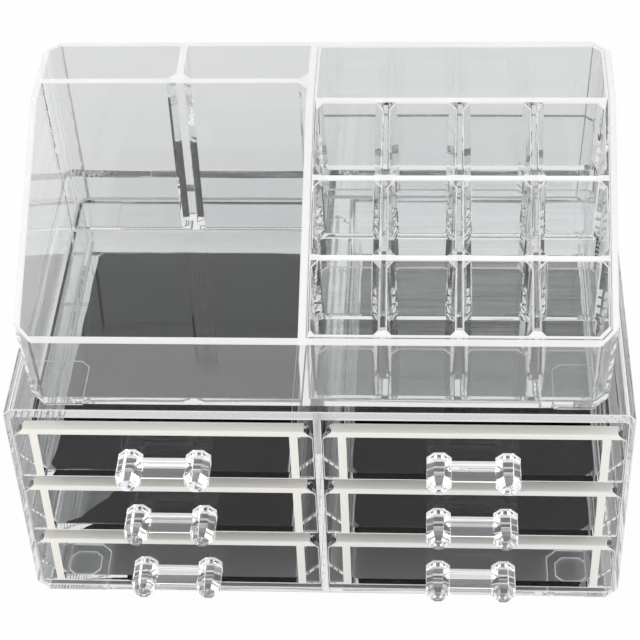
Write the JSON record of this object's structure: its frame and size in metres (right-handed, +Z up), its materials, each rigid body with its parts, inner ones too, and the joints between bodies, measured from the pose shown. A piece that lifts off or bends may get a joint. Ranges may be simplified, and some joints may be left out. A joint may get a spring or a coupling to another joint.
{
  "type": "makeup organizer",
  "caption": "Clear moulded makeup organizer: a case of small drawers with knob handles under a lift-off tray with compartments and a stepped lipstick rack.",
  "frame": {"origin": "middle of the whole object's footprint, on the surface it stands on", "axes": "+Z up, the drawers open towards -Y, +X to the right as seen from the front"},
  "size_m": [0.24, 0.1654, 0.1851],
  "materials": {
    "clear_case": "clear moulded polystyrene, glossy",
    "clear_tray": "clear moulded polystyrene, glossy",
    "clear_drawer": "clear moulded polystyrene, glossy, with cream edges",
    "clear_handle": "clear moulded polystyrene, glossy",
    "black_mat": "thin black liner, matt"
  },
  "bodies": {
    "case": {"drawer_case": "clear_case"},
    "tray": {"upper_tray": "clear_tray", "lipstick_rack": "clear_tray"},
    "drawer_bottom_left": {"drawer_bottom_left": "clear_drawer", "handle_bottom_left": "clear_handle", "mat_bottom_left": "black_mat"},
    "drawer_middle_left": {"drawer_middle_left": "clear_drawer", "handle_middle_left": "clear_handle", "mat_middle_left": "black_mat"},
    "drawer_top_left": {"drawer_top_left": "clear_drawer", "handle_top_left": "clear_handle", "mat_top_left": "black_mat"},
    "drawer_bottom_right": {"drawer_bottom_right": "clear_drawer", "handle_bottom_right": "clear_handle", "mat_bottom_right": "black_mat"},
    "drawer_middle_right": {"drawer_middle_right": "clear_drawer", "handle_middle_right": "clear_handle", "mat_middle_right": "black_mat"},
    "drawer_top_right": {"drawer_top_right": "clear_drawer", "handle_top_right": "clear_handle", "mat_top_right": "black_mat"}
  },
  "joints": [
    {"name": "tray_lift", "type": "slide", "parent": "case", "child": "tray", "axis": [0, 0, 1], "range_m": [0, 0.09]},
    {"name": "slide_bottom_left", "type": "slide", "parent": "case", "child": "drawer_bottom_left", "axis": [0, -1, 0], "range_m": [0, 0.105]},
    {"name": "slide_middle_left", "type": "slide", "parent": "case", "child": "drawer_middle_left", "axis": [0, -1, 0], "range_m": [0, 0.105]},
    {"name": "slide_top_left", "type": "slide", "parent": "case", "child": "drawer_top_left", "axis": [0, -1, 0], "range_m": [0, 0.105]},
    {"name": "slide_bottom_right", "type": "slide", "parent": "case", "child": "drawer_bottom_right", "axis": [0, -1, 0], "range_m": [0, 0.105]},
    {"name": "slide_middle_right", "type": "slide", "parent": "case", "child": "drawer_middle_right", "axis": [0, -1, 0], "range_m": [0, 0.105]},
    {"name": "slide_top_right", "type": "slide", "parent": "case", "child": "drawer_top_right", "axis": [0, -1, 0], "range_m": [0, 0.105]}
  ]
}
